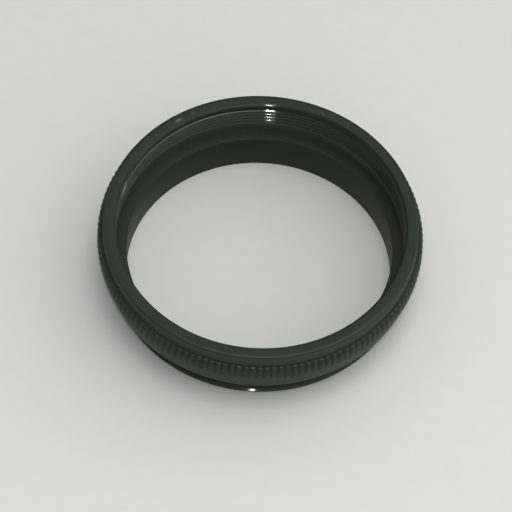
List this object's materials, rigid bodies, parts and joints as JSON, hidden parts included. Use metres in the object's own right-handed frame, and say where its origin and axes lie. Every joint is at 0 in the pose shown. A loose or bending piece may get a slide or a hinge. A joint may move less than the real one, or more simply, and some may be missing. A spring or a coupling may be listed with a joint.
{
  "type": "lens tube",
  "caption": "Short threaded lens tube: a turned spacer ring with a fine outside thread at the foot, a matching inside thread at the head and a knurled grip band.",
  "frame": {"origin": "centre of the foot, the end face of the outside thread, on the optical axis", "axes": "+Z along the optical axis from the outside thread up to the inside thread; +X and +Y across it"},
  "size_m": [0.0464, 0.0464, 0.0122],
  "materials": {
    "black_anodised": "black anodised over a fine blast, semi-matt"
  },
  "bodies": {
    "root": {"lens_tube": "black_anodised"}
  },
  "joints": []
}
